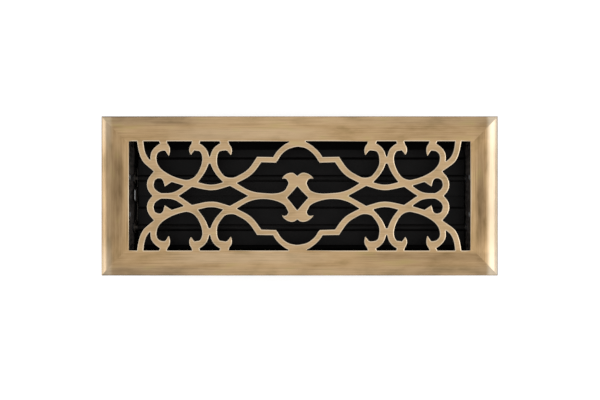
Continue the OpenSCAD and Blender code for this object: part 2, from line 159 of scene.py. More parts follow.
def pierced_rims(bm, top):
    """The rims of the pierced openings on the flat top, each a ring of points, anticlockwise."""
    near = {}
    for edge in bm.edges:
        level = [abs(v.co.z - top) < 1e-5 for v in edge.verts]
        steep = [abs(f.normal.z) < 0.01 for f in edge.link_faces]
        if all(level) and any(steep) and not all(steep):
            a, b = edge.verts
            near.setdefault(a, []).append(b)
            near.setdefault(b, []).append(a)
    rims = []
    while near:
        start = last = next(iter(near))
        ring = []
        here = start
        while here in near:
            ring.append((here.co.x, here.co.y))
            onward = [v for v in near.pop(here) if v in near and v is not last]
            last = here
            here = onward[0] if onward else None
        ring = np.array(ring)
        x, y = ring[:, 0], ring[:, 1]
        turns = np.sum(x * np.roll(y, -1) - np.roll(x, -1) * y)
        rims.append(ring if turns > 0 else ring[::-1])
    return rims


def bends(ring):
    """The turn at each point of a ring in radians, more than zero where the opening bulges."""
    step = np.roll(ring, -1, 0) - ring
    way = np.arctan2(step[:, 1], step[:, 0])
    return (way - np.roll(way, 1) + np.pi) % (2 * np.pi) - np.pi


def fuller(ring, middle, reach, push):
    """The ring with the stretch round this middle pushed out into a fuller curve."""
    points = []
    for a, b in zip(ring, np.roll(ring, -1, 0)):
        near = np.linalg.norm((a + b) / 2 - middle) < 1.2 * reach
        pieces = int(np.ceil(np.linalg.norm(b - a) / 0.0008)) if near else 1
        points += [a + (b - a) * k / pieces for k in range(pieces)]
    ring = np.array(points)
    share = 1 - np.sum((ring - middle) ** 2, 1) / reach ** 2
    return ring + np.outer(np.clip(share, 0, None) ** 2, push)


def faired(ring, most=0.00035, rounds=24):
    """The ring with its curves evened out by up to this much, and its corners where they are."""
    step = np.linalg.norm(np.roll(ring, -1, 0) - ring, axis=1)
    back = np.roll(step, 1)
    corner = np.abs(bends(ring)) > 0.3
    held = corner.copy()
    for way in (1, -1):
        gap = back if way == 1 else step
        held |= np.roll(corner, way) & (gap < 0.0009)
    moved = ring.copy()
    for i in range(2 * rounds):
        before, after = np.roll(moved, 1, 0), np.roll(moved, -1, 0)
        middle = (before * step[:, None] + after * back[:, None]) / (step + back)[:, None]
        moved = moved + (0.5 if i % 2 == 0 else -0.52) * (middle - moved) * ~held[:, None]
    shift = moved - ring
    size = np.linalg.norm(shift, axis=1)[:, None]
    return ring + shift * np.minimum(1.0, most / np.maximum(size, 1e-12))


def smoothed(ring, closest=0.00018):
    """The ring without crowded points, and with one added in the middle of each curved step."""
    kept = [ring[0]]
    for point in ring[1:]:
        if np.linalg.norm(point - kept[-1]) > closest:
            kept.append(point)
    if np.linalg.norm(kept[0] - kept[-1]) < closest:
        kept.pop()
    ring = faired(np.array(kept))
    curved = (np.abs(bends(ring)) > 0.01) & (np.abs(bends(ring)) < 0.44)
    points = []
    for i in range(len(ring)):
        j = (i + 1) % len(ring)
        points.append(ring[i])
        if curved[i] and curved[j] and np.linalg.norm(ring[j] - ring[i]) > 3 * closest:
            points.append((9 * (ring[i] + ring[j]) - ring[i - 1] - ring[(j + 1) % len(ring)]) / 16)
    return np.array(points)


def outward(ring):
    """Unit vectors from each point of an opening's rim into the metal, and how much they stretch."""
    step = np.roll(ring, -1, 0) - ring
    side = np.stack([step[:, 1], -step[:, 0]], 1) / np.linalg.norm(step, axis=1)[:, None]
    both = side + np.roll(side, 1, 0)
    length = np.linalg.norm(both, axis=1)[:, None]
    return both / length, 1 / np.maximum(length[:, 0] / 2, 0.6)


def edge_room(rims, radius):
    """The easing radius at each rim point, less where the metal is narrow, as at a barb's tip."""
    starts = np.concatenate(rims)
    seg = np.concatenate([np.roll(r, -1, 0) for r in rims]) - starts
    rooms = []
    for ring in rims:
        way, _ = outward(ring)
        room = np.full(len(ring), radius)
        for i, (point, aim) in enumerate(zip(ring, way)):
            apart = starts - point
            cross = aim[0] * seg[:, 1] - aim[1] * seg[:, 0]
            cross[np.abs(cross) < 1e-12] = 1e-12
            reach = (apart[:, 0] * seg[:, 1] - apart[:, 1] * seg[:, 0]) / cross
            along = (apart[:, 0] * aim[1] - apart[:, 1] * aim[0]) / cross
            hits = reach[(along > -0.01) & (along < 1.01) & (reach > 2e-5)]
            if len(hits):
                room[i] = min(radius, 0.36 * hits.min())
        gaps = np.linalg.norm(np.roll(ring, -1, 0) - ring, axis=1)
        lean = np.tan(np.clip(-bends(ring) / 2, -1.2, 1.2))
        pinch = lean + np.roll(lean, -1)
        most = np.where(pinch > 1e-3, 0.8 * gaps / np.maximum(pinch, 1e-3), radius)
        room = np.minimum(room, np.minimum(most, np.roll(most, 1)))
        for _ in range(2):
            for i in range(len(ring)):
                room[i] = min(room[i], room[i - 1] + 0.5 * gaps[i - 1])
            for i in range(len(ring) - 1, -1, -1):
                room[i] = min(room[i], room[(i + 1) % len(ring)] + 0.5 * gaps[i])
        rooms.append(room)
    return rooms


def fill_flat(bm, edges, upwards):
    """Fills the flat face that these edges bound, leaving its openings open."""
    corners = list({v: None for edge in edges for v in edge.verts})
    number = {v: i for i, v in enumerate(corners)}
    links = [tuple(number[v] for v in edge.verts) for edge in edges]
    spots, _, faces, origin, _, _ = delaunay_2d_cdt([v.co.xy for v in corners], links, [], 0, 1e-9)
    spots = np.array([tuple(p) for p in spots])
    faces = np.array([f for f in faces if len(f) == 3])
    middle = spots[faces].mean(1)
    ends = np.array([tuple(v.co.xy) for v in corners])[np.array(links)]
    a, b = ends[:, 0], ends[:, 1]
    for face, (x, y) in zip(faces, middle):
        crossed = (a[:, 1] > y) != (b[:, 1] > y)
        at = a[crossed, 0] + (y - a[crossed, 1]) / (b[crossed, 1] - a[crossed, 1]) * (b[crossed, 0] - a[crossed, 0])
        if np.count_nonzero(at > x) % 2:
            three = []
            for i in face:
                if not origin[i]:
                    corners.append(bm.verts.new((*spots[i], corners[0].co.z)))
                    origin[i] = [len(corners) - 1]
                three.append(corners[origin[i][0]])
            bm.faces.new(three if upwards else three[::-1])


def eased_plate(node, radius, depth, top, under):
    """The face plate with smooth rims, the upper edge of every opening rounded over and marked
    as rubbed bright, partly a painted highlight, and a crisp line along each mitre of the border."""
    bm = merged_copy(node)
    rubbed_and_highlit = bm.verts.layers.float.new("rubbed_and_highlit")
    rims = pierced_rims(bm, top)
    # the two arches on the middle line are a little rounder than the casting's drawing has them
    for middle, reach, push in (((-0.0006, 0.0402), 0.0105, (0, 0.00115)),
                                ((-0.0022, -0.0405), 0.0095, (0, -0.00075))):
        rims = [fuller(r, middle, reach, push) for r in rims]
    rims = [smoothed(r) for r in rims]
    rooms = edge_room(rims, radius)
    reach = np.abs(np.concatenate(rims)).max(0) + 1e-5
    gone = []
    for face in bm.faces:
        spot = face.calc_center_median()
        flat_top = face.normal.z > 0.999 and abs(spot.z - top) < 1e-5
        flat_under = face.normal.z < -0.999 and abs(spot.z - under) < 1e-5
        inside = abs(spot.x) < reach[0] and abs(spot.y) < reach[1]
        if flat_top or flat_under or (inside and abs(face.normal.z) < 0.01):
            gone.append(face)
    bmesh.ops.delete(bm, geom=gone, context="FACES")
    open_top = [e for e in bm.edges if e.is_boundary and all(abs(v.co.z - top) < 1e-5 for v in e.verts)]
    open_under = [e for e in bm.edges if e.is_boundary and all(abs(v.co.z - under) < 1e-5 for v in e.verts)]
    # rows from the foot of the opening's wall, round the edge and just on to the flat: how far
    # out, how far down, and how bright it is rubbed, which is partly a painted highlight
    section = [(1 - math.cos(a), depth * (1 - math.sin(a)), 0.6) for a in (0, 0.55, 1.05)]
    section += [(1.0, 0.0, 0.4), (1.3, 0.0, 0.0)]
    for ring, room in zip(rims, rooms):
        way, stretch = outward(ring)
        rows = [[bm.verts.new((x, y, under)) for x, y in ring]]
        for out, down, bright in section:
            moved = ring + way * (room * stretch * out)[:, None]
            row = [bm.verts.new((x, y, top - d)) for (x, y), d in zip(moved, room * down)]
            for vert in row:
                vert[rubbed_and_highlit] = bright
            rows.append(row)
        count = len(ring)
        for low, high in zip(rows, rows[1:]):
            for i in range(count):
                j = (i + 1) % count
                bm.faces.new((low[j], low[i], high[i], high[j]))
        open_under += [bm.edges.get((rows[0][i], rows[0][(i + 1) % count])) for i in range(count)]
        open_top += [bm.edges.get((rows[-1][i], rows[-1][(i + 1) % count])) for i in range(count)]
    fill_flat(bm, open_top, True)
    fill_flat(bm, open_under, False)
    bmesh.ops.delete(bm, geom=[v for v in bm.verts if not v.link_faces], context="VERTS")
    half_l, half_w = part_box(node)[1][:2]
    for edge in bm.edges:
        inset = [(half_l - abs(v.co.x), half_w - abs(v.co.y)) for v in edge.verts]
        if all(abs(u - v) < 3e-5 for u, v in inset) and abs(inset[0][0] - inset[1][0]) > 1e-4:
            edge.smooth = False
    bm.normal_update()
    return bm


plate_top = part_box("face_plate")[1][2]
antique_brass = finish_named("antique_brass")
tree = antique_brass.node_tree
place = add(tree, "ShaderNodeTexCoord").outputs["Object"]
at = add(tree, "ShaderNodeSeparateXYZ", {0: place}).outputs
far_x = add(tree, "ShaderNodeMath", {0: at["X"]}, operation="ABSOLUTE").outputs[0]
far_y = add(tree, "ShaderNodeMath", {0: at["Y"]}, operation="ABSOLUTE").outputs[0]

# the belt runs along each border, so past the mitres X and Y change places; the plate is
# 203.2 mm longer than it is wide, which puts the mitres at far_x - far_y = 101.6 mm
past_mitre = add(tree, "ShaderNodeMath", {0: far_x, 1: far_y}, operation="SUBTRACT")
past_mitre = add(tree, "ShaderNodeMath", {0: past_mitre.outputs[0], 1: 0.1016}, operation="GREATER_THAN")
end_border = add(tree, "ShaderNodeMath", {0: far_x, 1: 0.1458}, operation="GREATER_THAN")
end_border = add(tree, "ShaderNodeMath", {0: past_mitre.outputs[0], 1: end_border.outputs[0]},
                 operation="MULTIPLY")
turned = add(tree, "ShaderNodeCombineXYZ", {"X": at["Y"], "Y": at["X"], "Z": at["Z"]})
run = add(tree, "ShaderNodeMix", {"Factor": end_border.outputs[0], "A": place, "B": turned.outputs[0]},
          data_type="VECTOR").outputs["Result"]

# linishing lines: the belt leaves lines 0.1 mm wide, drawn 0.7 mm wide and 45 mm long to show
lines_at = add(tree, "ShaderNodeMapping", {"Vector": run, "Scale": (22, 1400, 500)})
lines = add(tree, "ShaderNodeTexNoise",
            {"Vector": lines_at.outputs[0], "Scale": 1.0, "Detail": 3.0, "Roughness": 0.6})
# wiped wash: soft clouds about 25 mm long and 9 mm high
clouds_at = add(tree, "ShaderNodeMapping", {"Vector": run, "Scale": (38, 110, 60)})
clouds = add(tree, "ShaderNodeTexNoise",
             {"Vector": clouds_at.outputs[0], "Scale": 1.0, "Detail": 4.0, "Roughness": 0.55})
tint = add(tree, "ShaderNodeValToRGB", {"Fac": clouds.outputs["Fac"]},
           stops=[(0.30, "#A98E65"), (0.45, "#BE9F76"), (0.58, "#C6A77F"), (0.72, "#C1A877")])
brushed = add(tree, "ShaderNodeValToRGB", {"Fac": lines.outputs["Fac"]},
              stops=[(0.30, "#D8D4CC"), (0.50, "#F4F2EE"), (0.70, "#FFFFFF")])
toned = add(tree, "ShaderNodeMix", {"Factor": 1.0, "A": tint.outputs["Color"],
                                    "B": brushed.outputs["Color"]},
            data_type="RGBA", blend_type="MULTIPLY")

# both end borders are darker, most in a patch 60 mm long and 11 mm wide at the middle of each
# where the wash is left thicker; a painted shade darkens a line 0.7 mm high at the foot of the
# outer edge
ends = add(tree, "ShaderNodeMapRange", {"Value": far_x, "From Min": 0.1475, "From Max": 0.1535},
           interpolation_type="SMOOTHSTEP")
off_corner = add(tree, "ShaderNodeMapRange",
                 {"Value": far_y, "From Min": 0.030, "From Max": 0.052, "To Min": 1.0, "To Max": 0.25},
                 interpolation_type="SMOOTHSTEP")
ends = add(tree, "ShaderNodeMath", {0: ends.outputs[0], 1: off_corner.outputs[0]}, operation="MULTIPLY")
off_bevel = add(tree, "ShaderNodeMapRange",
                {"Value": far_x, "From Min": 0.1585, "From Max": 0.1630, "To Min": 1.0, "To Max": 0.5},
                interpolation_type="SMOOTHSTEP")
ends = add(tree, "ShaderNodeMath", {0: ends.outputs[0], 1: off_bevel.outputs[0]}, operation="MULTIPLY")
patch_x = add(tree, "ShaderNodeMapRange",
              {"Value": far_x, "From Min": 0.1545, "From Max": 0.1600, "To Min": 0.0, "To Max": 1.0},
              clamp=False)
patch_mid = add(tree, "ShaderNodeMath", {0: at["X"], 1: -0.035, 2: 0.0025}, operation="MULTIPLY_ADD")
patch_y = add(tree, "ShaderNodeMath", {0: at["Y"], 1: patch_mid.outputs[0]}, operation="SUBTRACT")
patch_y = add(tree, "ShaderNodeMath", {0: patch_y.outputs[0], 1: 0.030}, operation="DIVIDE")
patch_at = add(tree, "ShaderNodeCombineXYZ", {"X": patch_x.outputs[0], "Y": patch_y.outputs[0]})
patch_far = add(tree, "ShaderNodeVectorMath", {0: patch_at.outputs[0]}, operation="LENGTH")
patch = add(tree, "ShaderNodeMapRange",
            {"Value": patch_far.outputs["Value"], "From Min": 0.3, "From Max": 1.25,
             "To Min": 1.0, "To Max": 0.0}, interpolation_type="SMOOTHSTEP")
foot_shade = add(tree, "ShaderNodeMapRange",
           {"Value": at["Z"], "From Min": 0.0010, "From Max": 0.0024, "To Min": 1.0, "To Max": 0.0},
           interpolation_type="SMOOTHSTEP")
film = add(tree, "ShaderNodeMapRange",
           {"Value": far_x, "From Min": 0.02, "From Max": 0.11, "To Min": 0.0, "To Max": 1.0},
           interpolation_type="SMOOTHSTEP")
film_deep = add(tree, "ShaderNodeMapRange",
                {"Value": at["X"], "From Min": -0.1, "From Max": 0.1, "To Min": 0.07, "To Max": 0.17})
film_out = add(tree, "ShaderNodeMapRange",
               {"Value": far_y, "From Min": 0.0466, "From Max": 0.0500}, interpolation_type="SMOOTHSTEP")
film = add(tree, "ShaderNodeMath", {0: film.outputs[0], 1: film_deep.outputs[0]}, operation="MULTIPLY")
film = add(tree, "ShaderNodeMath", {0: film.outputs[0], 1: film_out.outputs[0]}, operation="MULTIPLY")
wash_and_shade = add(tree, "ShaderNodeMath", {0: ends.outputs[0], 1: 0.38, 2: film.outputs[0]},
           operation="MULTIPLY_ADD")
wash_and_shade = add(tree, "ShaderNodeMath", {0: patch.outputs[0], 1: 0.24, 2: wash_and_shade.outputs[0]},
           operation="MULTIPLY_ADD")
# the painted shade at the foot is faint on the left end, but for its rear corner
left_end = add(tree, "ShaderNodeMath", {0: at["X"], 1: 0.0}, operation="LESS_THAN")
left_end = add(tree, "ShaderNodeMath", {0: left_end.outputs[0], 1: past_mitre.outputs[0]},
               operation="MULTIPLY")
faint = add(tree, "ShaderNodeMapRange",
            {"Value": at["Y"], "From Min": 0.045, "From Max": 0.030, "To Min": 0.0, "To Max": -0.30},
            interpolation_type="SMOOTHSTEP")
foot_deep = add(tree, "ShaderNodeMath", {0: left_end.outputs[0], 1: faint.outputs[0], 2: 0.70},
                operation="MULTIPLY_ADD")
wash_and_shade = add(tree, "ShaderNodeMath", {0: foot_shade.outputs[0], 1: foot_deep.outputs[0], 2: wash_and_shade.outputs[0]},
           operation="MULTIPLY_ADD")
# a dark line 0.6 mm wide is left along the rear edge, near its left corner
line_x = add(tree, "ShaderNodeMapRange", {"Value": at["X"], "From Min": -0.136, "From Max": -0.152},
             interpolation_type="SMOOTHSTEP")
line_y = add(tree, "ShaderNodeMapRange",
             {"Value": at["Y"], "From Min": 0.0672, "From Max": 0.0677, "To Min": 0.0, "To Max": 0.85})
line = add(tree, "ShaderNodeMath", {0: line_x.outputs[0], 1: line_y.outputs[0]}, operation="MULTIPLY")
wash_and_shade = add(tree, "ShaderNodeMath", {0: line.outputs[0], 1: wash_and_shade.outputs[0]}, operation="ADD")
# more of it is left along the outer edges of both long borders towards their left ends, and
# beside the opening on the right half of the front border
outer_x = add(tree, "ShaderNodeMapRange",
              {"Value": at["X"], "From Min": -0.060, "From Max": -0.120, "To Min": 0.0, "To Max": 0.30},
              interpolation_type="SMOOTHSTEP")
outer_y = add(tree, "ShaderNodeMapRange", {"Value": far_y, "From Min": 0.0575, "From Max": 0.0625},
              interpolation_type="SMOOTHSTEP")
outer = add(tree, "ShaderNodeMath", {0: outer_x.outputs[0], 1: outer_y.outputs[0]}, operation="MULTIPLY")
long_border = add(tree, "ShaderNodeMath", {0: 1.0, 1: past_mitre.outputs[0]}, operation="SUBTRACT")
wash_and_shade = add(tree, "ShaderNodeMath", {0: outer.outputs[0], 1: long_border.outputs[0], 2: wash_and_shade.outputs[0]},
           operation="MULTIPLY_ADD")
beside_x = add(tree, "ShaderNodeMapRange",
               {"Value": at["X"], "From Min": 0.040, "From Max": 0.062, "To Min": 0.0, "To Max": 0.20},
               interpolation_type="SMOOTHSTEP")
beside_y = add(tree, "ShaderNodeMapRange", {"Value": at["Y"], "From Min": -0.0475, "From Max": -0.0490},
               interpolation_type="SMOOTHSTEP")
beside_end = add(tree, "ShaderNodeMapRange", {"Value": at["Y"], "From Min": -0.0570, "From Max": -0.0530},
                 interpolation_type="SMOOTHSTEP")
beside = add(tree, "ShaderNodeMath", {0: beside_x.outputs[0], 1: beside_y.outputs[0]}, operation="MULTIPLY")
beside = add(tree, "ShaderNodeMath", {0: beside.outputs[0], 1: long_border.outputs[0]}, operation="MULTIPLY")
wash_and_shade = add(tree, "ShaderNodeMath", {0: beside.outputs[0], 1: beside_end.outputs[0], 2: wash_and_shade.outputs[0]},
           operation="MULTIPLY_ADD")
uneven = add(tree, "ShaderNodeMapRange",
             {"Value": clouds.outputs["Fac"], "From Min": 0.3, "From Max": 0.7,
              "To Min": 1.25, "To Max": 0.75})
wash_and_shade = add(tree, "ShaderNodeMath", {0: wash_and_shade.outputs[0], 1: uneven.outputs[0]}, operation="MULTIPLY",
           use_clamp=True)
dark = add(tree, "ShaderNodeMix", {"Factor": 1.0, "A": toned.outputs["Result"], "B": linear("#77716B")},
           data_type="RGBA", blend_type="MULTIPLY")
washed_and_shaded = add(tree, "ShaderNodeMix", {"Factor": wash_and_shade.outputs[0], "A": toned.outputs["Result"],
                                     "B": dark.outputs["Result"]}, data_type="RGBA")

# rubbed bright: the rounded rims, 0.8 mm wide, the bevels, most at the right end and near the
# corners, and a little of all the scrolls; the brightness of the rims and bevels is partly a
# painted highlight, and all of it where it grows towards the right end and the corners
rim_wear_and_highlight = add(tree, "ShaderNodeAttribute", attribute_name="rubbed_and_highlit")
bevels = add(tree, "ShaderNodeMapRange", {"Value": far_x, "From Min": 0.1580, "From Max": 0.1635},
             interpolation_type="SMOOTHSTEP")
bevel_highlight_share = add(tree, "ShaderNodeMapRange",
             {"Value": at["X"], "From Min": -0.1, "From Max": 0.1, "To Min": 0.08, "To Max": 0.44})
corners = add(tree, "ShaderNodeMapRange",
              {"Value": far_y, "From Min": 0.030, "From Max": 0.058, "To Min": 0.0, "To Max": 0.22},
              interpolation_type="SMOOTHSTEP")
bevel_highlight_share = add(tree, "ShaderNodeMath", {0: bevel_highlight_share.outputs[0], 1: corners.outputs[0]}, operation="ADD")
bevels = add(tree, "ShaderNodeMath", {0: bevels.outputs[0], 1: bevel_highlight_share.outputs[0]}, operation="MULTIPLY")
above_foot = add(tree, "ShaderNodeMath", {0: 1.0, 1: foot_shade.outputs[0]}, operation="SUBTRACT")
bevels = add(tree, "ShaderNodeMath", {0: bevels.outputs[0], 1: above_foot.outputs[0]},
             operation="MULTIPLY")
bright = add(tree, "ShaderNodeMath", {0: rim_wear_and_highlight.outputs["Fac"], 1: bevels.outputs[0]},
             operation="MAXIMUM")
scrolls = add(tree, "ShaderNodeMapRange",
              {"Value": far_y, "From Min": 0.0450, "From Max": 0.0475, "To Min": 0.075, "To Max": 0.0},
              interpolation_type="SMOOTHSTEP")
scrolls_x = add(tree, "ShaderNodeMapRange",
                {"Value": far_x, "From Min": 0.143, "From Max": 0.146, "To Min": 1.0, "To Max": 0.0},
                interpolation_type="SMOOTHSTEP")
scrolls = add(tree, "ShaderNodeMath", {0: scrolls.outputs[0], 1: scrolls_x.outputs[0]},
              operation="MULTIPLY")
bright = add(tree, "ShaderNodeMath", {0: bright.outputs[0], 1: scrolls.outputs[0]}, operation="MAXIMUM")
long_bevels = add(tree, "ShaderNodeMapRange",
                  {"Value": far_y, "From Min": 0.0590, "From Max": 0.0630, "To Min": 0.0, "To Max": 0.06},
                  interpolation_type="SMOOTHSTEP")
bright = add(tree, "ShaderNodeMath", {0: bright.outputs[0], 1: long_bevels.outputs[0]}, operation="MAXIMUM")
# a swath 12 cm long and 7 mm wide beside the opening, 45 mm left of the middle, where feet tread
trodden_x = add(tree, "ShaderNodeMath", {0: at["X"], 1: 0.045}, operation="ADD")
trodden_x = add(tree, "ShaderNodeMath", {0: trodden_x.outputs[0]}, operation="ABSOLUTE")
trodden_x = add(tree, "ShaderNodeMapRange",
                {"Value": trodden_x.outputs[0], "From Min": 0.035, "From Max": 0.085, "To Min": 0.13,
                 "To Max": 0.0}, interpolation_type="SMOOTHSTEP")
trodden_y = add(tree, "ShaderNodeMapRange", {"Value": far_y, "From Min": 0.0600, "From Max": 0.0545},
                interpolation_type="SMOOTHSTEP")
trodden = add(tree, "ShaderNodeMath", {0: trodden_x.outputs[0], 1: trodden_y.outputs[0]},
              operation="MULTIPLY")
trodden = add(tree, "ShaderNodeMath", {0: trodden.outputs[0], 1: film_out.outputs[0]},
              operation="MULTIPLY")
bright = add(tree, "ShaderNodeMath", {0: bright.outputs[0], 1: trodden.outputs[0]}, operation="MAXIMUM")
rubbed_and_highlit = add(tree, "ShaderNodeMix", {"Factor": bright.outputs[0], "A": washed_and_shaded.outputs["Result"],
                                     "B": linear("#E8DAC3")}, data_type="RGBA")
gloss = add(tree, "ShaderNodeMapRange",
            {"Value": lines.outputs["Fac"], "From Min": 0.3, "From Max": 0.7,
             "To Min": 0.38, "To Max": 0.31})
grain = add(tree, "ShaderNodeBump",
            {"Height": lines.outputs["Fac"], "Strength": 0.12, "Distance": 0.00004})
body = add(tree, "ShaderNodeBsdfPrincipled",
           {"Base Color": rubbed_and_highlit.outputs["Result"], "Metallic": 1.0,
            "Roughness": gloss.outputs[0], "Normal": grain.outputs[0]})
add(tree, "ShaderNodeOutputMaterial", {"Surface": body.outputs[0]})

plate = eased_plate("face_plate", 0.0008, 0.65, plate_top, plate_top - 0.003)
shown("face_plate", plate, antique_brass)


# Box
# Four walls of 1 mm sheet steel under the plate, the long ones folded round the corners and
# riveted, sprayed with satin black enamel. Near the top, the inside of the end walls is painted
# grey in streaks: a painted light for the light that falls in through the grille.

black_enamel = finish_named("black_enamel")
tree = black_enamel.node_tree
place = add(tree, "ShaderNodeTexCoord").outputs["Object"]
at = add(tree, "ShaderNodeSeparateXYZ", {0: place}).outputs
# orange peel 1.5 mm across, and dust specks and streaks 10 mm across
peel = add(tree, "ShaderNodeTexNoise", {"Vector": place, "Scale": 700.0, "Detail": 1.0})
peel_bump = add(tree, "ShaderNodeBump",
                {"Height": peel.outputs["Fac"], "Strength": 0.15, "Distance": 0.00005})
dust = add(tree, "ShaderNodeTexNoise", {"Vector": place, "Scale": 90.0, "Detail": 5.0})
black = add(tree, "ShaderNodeValToRGB", {"Fac": dust.outputs["Fac"]},
            stops=[(0.35, "#0B0A0A"), (0.70, "#110F0F")])
# the inner faces of the end walls are 146.5 mm from the middle; the painted light there is
# strongest near the top and falls in streaks 3 mm wide
far_x = add(tree, "ShaderNodeMath", {0: at["X"]}, operation="ABSOLUTE")
off_face = add(tree, "ShaderNodeMath", {0: far_x.outputs[0], 1: 0.1465, 2: 0.0001}, operation="COMPARE")
high_up = add(tree, "ShaderNodeMapRange", {"Value": at["Z"], "From Min": -0.034, "From Max": -0.020},
              interpolation_type="SMOOTHSTEP")
wall_light_streaks_at = add(tree, "ShaderNodeMapping", {"Vector": place, "Scale": (1, 330, 40)})
wall_light_streaks = add(tree, "ShaderNodeTexNoise", {"Vector": wall_light_streaks_at.outputs[0], "Scale": 1.0, "Detail": 2.0})
wall_light_streaks = add(tree, "ShaderNodeMapRange",
            {"Value": wall_light_streaks.outputs["Fac"], "From Min": 0.35, "From Max": 0.6, "To Min": 0.35, "To Max": 1.0})
# painted light: grey streaks high on the inner faces of the end walls
wall_light = add(tree, "ShaderNodeMath", {0: off_face.outputs[0], 1: high_up.outputs[0]}, operation="MULTIPLY")
wall_light = add(tree, "ShaderNodeMath", {0: wall_light.outputs[0], 1: wall_light_streaks.outputs[0]}, operation="MULTIPLY")
enamel_and_wall_light = add(tree, "ShaderNodeMix", {"Factor": wall_light.outputs[0], "A": black.outputs["Color"],
                                      "B": linear("#544F4C")}, data_type="RGBA")
body = add(tree, "ShaderNodeBsdfPrincipled",
           {"Base Color": enamel_and_wall_light.outputs["Result"], "Roughness": 0.42, "IOR": 1.5,
            "Specular IOR Level": 0.1, "Normal": peel_bump.outputs[0]})
add(tree, "ShaderNodeOutputMaterial", {"Surface": body.outputs[0]})

def eased(node, width, segments=2):
    """A copy of a CAD node with its sharp edges rounded over by this width."""
    bm = merged_copy(node)
    bmesh.ops.dissolve_limit(bm, angle_limit=math.radians(0.5), verts=bm.verts, edges=bm.edges)
    bm.normal_update()
    sharp = [e for e in bm.edges if len(e.link_faces) == 2
             and math.radians(40) < e.calc_face_angle(0.0) < math.radians(170)]
    bmesh.ops.bevel(bm, geom=sharp, offset=width, offset_type="OFFSET", segments=segments,
                    profile=0.5, affect="EDGES", clamp_overlap=True)
    return bm


for node in ("side_wall_rear", "side_wall_front", "end_wall_left", "end_wall_right", "corner_rivets",
             "stop_rivets"):
    shown(node, eased(node, 0.0002), black_enamel)


# Ledges
# Two folded strips of 1 mm steel, riveted inside the long walls, that the closed blades lie
# against. Painted a deeper, more matt black than the enamel: a painted shade for the shadow
# of the plate's border over them.

black_in_painted_shade = finish_named("black_in_painted_shade")
tree = black_in_painted_shade.node_tree
place = add(tree, "ShaderNodeTexCoord").outputs["Object"]
# faint rolling lines: 0.05 mm on the real sheet, drawn 0.5 mm wide
rolled_at = add(tree, "ShaderNodeMapping", {"Vector": place, "Scale": (30, 2000, 2000)})
rolled = add(tree, "ShaderNodeTexNoise", {"Vector": rolled_at.outputs[0], "Scale": 1.0, "Detail": 2.0})
# painted shade: a black deeper than the enamel's, for the shadow over the ledges
painted_shade_black = add(tree, "ShaderNodeValToRGB", {"Fac": rolled.outputs["Fac"]},
           stops=[(0.35, "#040404"), (0.65, "#070606")])
body = add(tree, "ShaderNodeBsdfPrincipled",
           {"Base Color": painted_shade_black.outputs["Color"], "Roughness": 0.6, "IOR": 1.5,
            "Specular IOR Level": 0.03})
add(tree, "ShaderNodeOutputMaterial", {"Surface": body.outputs[0]})
for node in ("blade_stop_rear", "blade_stop_front"):
    shown(node, eased(node, 0.0002), black_in_painted_shade)


# Brackets, rivets and screws
# Steel angles outside the end walls and the fasteners that join them to the walls and the plate.
# Rivets and screws are tumbled and plated with bright zinc, a little clouded; the angles are
# passivated dark, a brown film over the same zinc.

bright_zinc = finish_named("bright_zinc")
tree = bright_zinc.node_tree
place = add(tree, "ShaderNodeTexCoord").outputs["Object"]
# clouds of the plating bath 2 mm across, and tumbling marks 0.1 mm long, drawn 0.5 mm long
bath = add(tree, "ShaderNodeTexNoise", {"Vector": place, "Scale": 420.0, "Detail": 3.0})
zinc = add(tree, "ShaderNodeValToRGB", {"Fac": bath.outputs["Fac"]},
           stops=[(0.35, "#C2C6CA"), (0.60, "#DADDDF"), (0.75, "#D2CFC4")])
tumbled = add(tree, "ShaderNodeTexNoise", {"Vector": place, "Scale": 2000.0, "Detail": 2.0})
clouded = add(tree, "ShaderNodeMapRange",
              {"Value": bath.outputs["Fac"], "From Min": 0.3, "From Max": 0.7,
               "To Min": 0.50, "To Max": 0.38})
marks = add(tree, "ShaderNodeBump", {"Height": tumbled.outputs["Fac"], "Strength": 0.2, "Distance": 0.00003})
body = add(tree, "ShaderNodeBsdfPrincipled",
           {"Base Color": zinc.outputs["Color"], "Metallic": 0.85, "Roughness": clouded.outputs[0],
            "Normal": marks.outputs[0]})
add(tree, "ShaderNodeOutputMaterial", {"Surface": body.outputs[0]})

dark_zinc = finish_named("dark_zinc")
tree = dark_zinc.node_tree
place = add(tree, "ShaderNodeTexCoord").outputs["Object"]
at = add(tree, "ShaderNodeSeparateXYZ", {0: place}).outputs
# the film is blotched, each blotch 4 mm across; the top 1 mm of the thumb tab, the only part
# with this film that reaches less than 13 mm below the floor, is light grey: worn bare, and a
# painted highlight where the light from above falls on its edge
film = add(tree, "ShaderNodeTexNoise", {"Vector": place, "Scale": 240.0, "Detail": 4.0})
brown = add(tree, "ShaderNodeValToRGB", {"Fac": film.outputs["Fac"]},
            stops=[(0.35, "#36312D"), (0.65, "#49433D")])
worn_and_lit_top = add(tree, "ShaderNodeMapRange", {"Value": at["Z"], "From Min": -0.0134, "From Max": -0.0124})
in_box = add(tree, "ShaderNodeMath", {0: at["X"]}, operation="ABSOLUTE")
in_box = add(tree, "ShaderNodeMath", {0: in_box.outputs[0], 1: 0.146}, operation="LESS_THAN")
worn_and_lit_top = add(tree, "ShaderNodeMath", {0: worn_and_lit_top.outputs[0], 1: in_box.outputs[0]}, operation="MULTIPLY")
worn_and_lit_top = add(tree, "ShaderNodeMix", {"Factor": worn_and_lit_top.outputs[0], "A": brown.outputs["Color"],
                                   "B": linear("#ADAEAF")}, data_type="RGBA")
body = add(tree, "ShaderNodeBsdfPrincipled",
           {"Base Color": worn_and_lit_top.outputs["Result"], "Metallic": 0.5, "Roughness": 0.5})
add(tree, "ShaderNodeOutputMaterial", {"Surface": body.outputs[0]})

